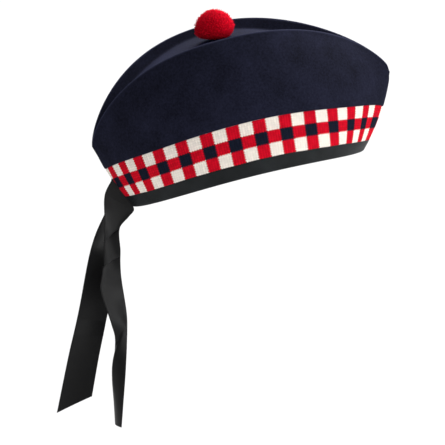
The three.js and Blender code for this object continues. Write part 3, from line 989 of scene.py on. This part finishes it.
def ribbed_ribbon(name, dark, pale, roughness, specular):
    """Black viscose ribbon woven in fine cross ribs: close to black, with a soft shine on each rib,
    partly painted paler into its colour.
    """
    material, tree = new_material(name)
    uv = node(tree, "ShaderNodeUVMap", uv_map="cloth")
    length = node(tree, "ShaderNodeSeparateXYZ", {0: uv}).outputs["X"]
    ribs_turn = 2 * math.pi / WEAVE["rib"]
    phase = node(tree, "ShaderNodeMath", {0: length, 1: ribs_turn}, operation="MULTIPLY")
    rib = node(tree, "ShaderNodeMath", {0: phase}, operation="SINE")
    place = node(tree, "ShaderNodeTexCoord").outputs["Object"]
    patch = node(
        tree, "ShaderNodeTexNoise",
        {"Vector": place, "Scale": per_metre(WEAVE["patch"]), "Detail": PATCH_DETAIL},
    )
    # Each rib's crest is painted a little paler, a painted highlight; patches differ by chance.
    tone = node(
        tree, "ShaderNodeMath", {0: rib, 1: WEAVE_TONE["rib"], 2: patch}, operation="MULTIPLY_ADD"
    )
    share = node(
        tree, "ShaderNodeMapRange",
        {"Value": tone, "From Min": WEAVE_TONE["darkest"], "From Max": WEAVE_TONE["palest"]},
    )
    colour = node(
        tree, "ShaderNodeMix",
        {MIX_SHARE: share, MIX_FROM: linear(dark), MIX_TO: linear(pale)}, data_type="RGBA",
    )
    bump = node(
        tree, "ShaderNodeBump",
        {"Height": rib, "Strength": WEAVE_TONE["bump"], "Distance": WEAVE["relief"] * MM},
    )
    shader = node(tree, "ShaderNodeBsdfPrincipled", {
        "Base Color": colour.outputs[MIXED],
        "Roughness": roughness,
        "Specular IOR Level": specular,
        "Normal": bump,
    })
    node(tree, "ShaderNodeOutputMaterial", {"Surface": shader})
    return material


def cut_yarn():
    """Soft wool yarn, cut and fluffed: deep red, with shade painted darker toward the roots, each strand
    a little different.

    The first UV number is a strand's own paleness times the painted shade under the ball, and the second
    runs from its root to its tip.
    """
    material, tree = new_material("wool_yarn_cut_ends")
    # The root colour is painted shade deep in the pile; strands grow paler toward their tips.
    root = linear("#7d0312")
    tip = linear("#f80c2e")
    uv = node(tree, "ShaderNodeUVMap", uv_map="cloth")
    strand = node(tree, "ShaderNodeSeparateXYZ", {0: uv}).outputs
    tone = node(tree, "ShaderNodeMath", {0: strand["X"], 1: strand["Y"]}, operation="MULTIPLY")
    colour = node(
        tree, "ShaderNodeMix", {MIX_SHARE: tone, MIX_FROM: root, MIX_TO: tip}, data_type="RGBA"
    )
    shader = node(tree, "ShaderNodeBsdfPrincipled", {
        "Base Color": colour.outputs[MIXED],
        "Roughness": 0.95,
        "Specular IOR Level": 0.05,
        "Sheen Weight": 0.3,
        "Sheen Roughness": 0.6,
        "Sheen Tint": linear("#ff3048"),
    })
    node(tree, "ShaderNodeOutputMaterial", {"Surface": shader})
    return material


def pale_floor():
    """A plain white floor, well below the cap."""
    material, tree = new_material("white_paper_sweep")
    shader = node(tree, "ShaderNodeBsdfPrincipled", {
        "Base Color": linear("#d3d3d3"),
        "Roughness": 0.9,
        "Specular IOR Level": 0.0,
    })
    node(tree, "ShaderNodeOutputMaterial", {"Surface": shader})
    corners = np.array([(-1, -1), (1, -1), (1, 1), (-1, 1)]) * FLOOR["half"]
    points = xyz(corners[:, 0], corners[:, 1], FLOOR["level"]) * MM
    mesh = bpy.data.meshes.new("floor")
    mesh.from_pydata(points.tolist(), [], [(0, 1, 2, 3)])
    mesh.materials.append(material)
    floor = added("floor", mesh)


def toward(azimuth, elevation):
    """Direction from the cap to a place; azimuth runs from the front round by the wearer's left."""
    a = math.radians(azimuth)
    e = math.radians(elevation)
    return np.array([math.sin(a) * math.cos(e), -math.cos(a) * math.cos(e), math.sin(e)])


def aim(thing, place, target):
    """Put a camera or light at a place, in millimetres, turned to face a target."""
    thing.location = Vector(place) * MM
    thing.rotation_euler = Vector(np.subtract(target, place)).to_track_quat("-Z", "Y").to_euler()


def camera():
    """A long lens level with the horizon, turned so that the cap's origin falls on its pixel."""
    data = bpy.data.cameras.new("camera")
    data.sensor_width = VIEW["sensor"]
    data.lens = data.sensor_width * VIEW["scale"] * VIEW["distance"] / VIEW["frame"]
    made = added("camera", data)
    out = toward(VIEW["azimuth"], VIEW["elevation"])
    right = unit(np.cross(-out, (0, 0, 1)))
    up = np.cross(right, -out)
    shift_right = (VIEW["frame"] / 2 - ORIGIN_PIXEL[0]) / VIEW["scale"]
    shift_up = (ORIGIN_PIXEL[1] - VIEW["frame"] / 2) / VIEW["scale"]
    aim(made, out * VIEW["distance"], right * shift_right + up * shift_up)
    bpy.context.scene.camera = made


def lamp(name, azimuth, elevation, strength, width):
    """A broad distant light that shines on the cap from a direction."""
    data = bpy.data.lights.new(name, "SUN")
    data.energy = strength
    data.angle = math.radians(width)
    made = added(name, data)
    aim(made, toward(azimuth, elevation) * VIEW["distance"], (0, 0, 0))


def studio():
    """Dim white all round, and broad lights round the cap."""
    world = bpy.data.worlds.new("studio")
    bpy.context.scene.world = world
    world.use_nodes = True
    background = world.node_tree.nodes["Background"]
    background.inputs["Color"].default_value = linear("#f6f8ff")
    background.inputs["Strength"].default_value = SKY
    for sun in SUNS:
        lamp(*sun)
    bpy.context.scene.view_settings.view_transform = "Standard"


wool = milled_wool()
rim_ribbon = ribbed_ribbon("grosgrain_ribbon_binding", "#131516", "#232628", 0.5, 0.1)
tail_ribbon = ribbed_ribbon("grosgrain_ribbon_tail", "#050506", "#0c0c0d", 0.42, 0.17)

camera()
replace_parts(crown_panel("wool_side_right", RIGHT, wool), "crown_side_right")
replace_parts(crown_panel("wool_side_left", LEFT, wool), "crown_side_left")
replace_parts(crown_top("wool_top", wool), "crown_top")
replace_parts(diced_band("knitted_band", diced_knit()), "diced_band")
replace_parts(rim_binding("bound_rim", rim_ribbon), "rim_binding")
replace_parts(ribbon_tail("tail_right", RIGHT_TAIL, RIGHT_FOLDS, RIGHT, tail_ribbon), "ribbon_tail_right")
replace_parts(ribbon_tail("tail_left", LEFT_TAIL, LEFT_FOLDS, LEFT, tail_ribbon), "ribbon_tail_left")
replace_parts(yarn_ball("yarn_strands", cut_yarn()), "yarn_ball")
pale_floor()
studio()
